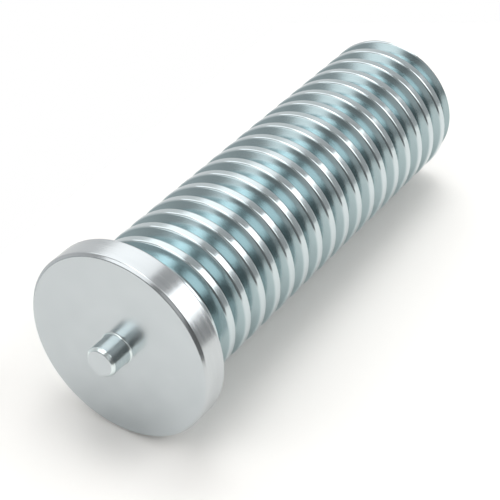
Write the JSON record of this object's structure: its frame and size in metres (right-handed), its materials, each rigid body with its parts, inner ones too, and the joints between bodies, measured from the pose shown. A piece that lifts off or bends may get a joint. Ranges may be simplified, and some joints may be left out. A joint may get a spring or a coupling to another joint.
{
  "type": "weld stud",
  "caption": "Threaded weld stud in one piece: a round flange with a short ignition tip on its weld face, and a shank threaded from the flange to a chamfered free end.",
  "frame": {"origin": "centre of the flat free end of the thread, on which the stud stands", "axes": "+Z along the stud's axis, from the free end of the thread to the weld face and the ignition tip"},
  "size_m": [0.0074, 0.0074, 0.021],
  "materials": {
    "zinc_plate": "bright zinc plate with a pale blue passivation, satin on the weld face"
  },
  "bodies": {
    "root": {"weld_stud": "zinc_plate"}
  },
  "joints": []
}
